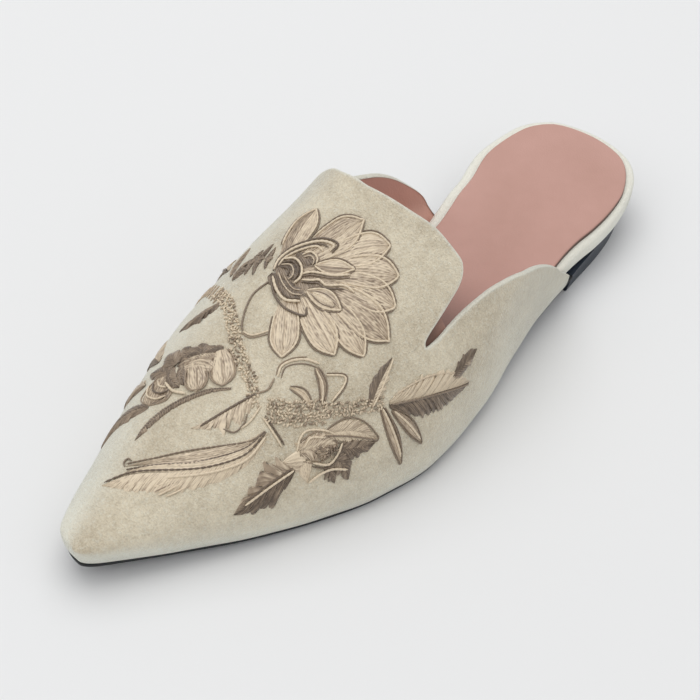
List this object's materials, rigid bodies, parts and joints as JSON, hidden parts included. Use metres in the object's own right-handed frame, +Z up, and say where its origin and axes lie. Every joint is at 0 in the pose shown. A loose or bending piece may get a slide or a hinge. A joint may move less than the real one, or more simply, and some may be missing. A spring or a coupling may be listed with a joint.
{
  "type": "mule",
  "caption": "Pointed flat mule for the left foot: hollow velvet upper with a stepped tongue, velvet-edged footbed, leather insole, thin outsole and low heel.",
  "frame": {"origin": "on the floor, under the middle of the whole shoe's box", "axes": "+Z up, the toe points to -Y, +X is the outer side of this left shoe"},
  "size_m": [0.0884, 0.255, 0.0657],
  "materials": {
    "velvet": "matte velvet pile, greige, with raised thread work",
    "footbed_velvet": "matte velvet pile, greige",
    "insole_leather": "smooth satin leather, dusty pink",
    "outsole": "black, fine matte grain",
    "heel": "dark navy, semi-gloss"
  },
  "bodies": {
    "root": {"upper": "velvet", "footbed": "footbed_velvet", "insole": "insole_leather", "outsole": "outsole", "heel": "heel"}
  },
  "joints": []
}
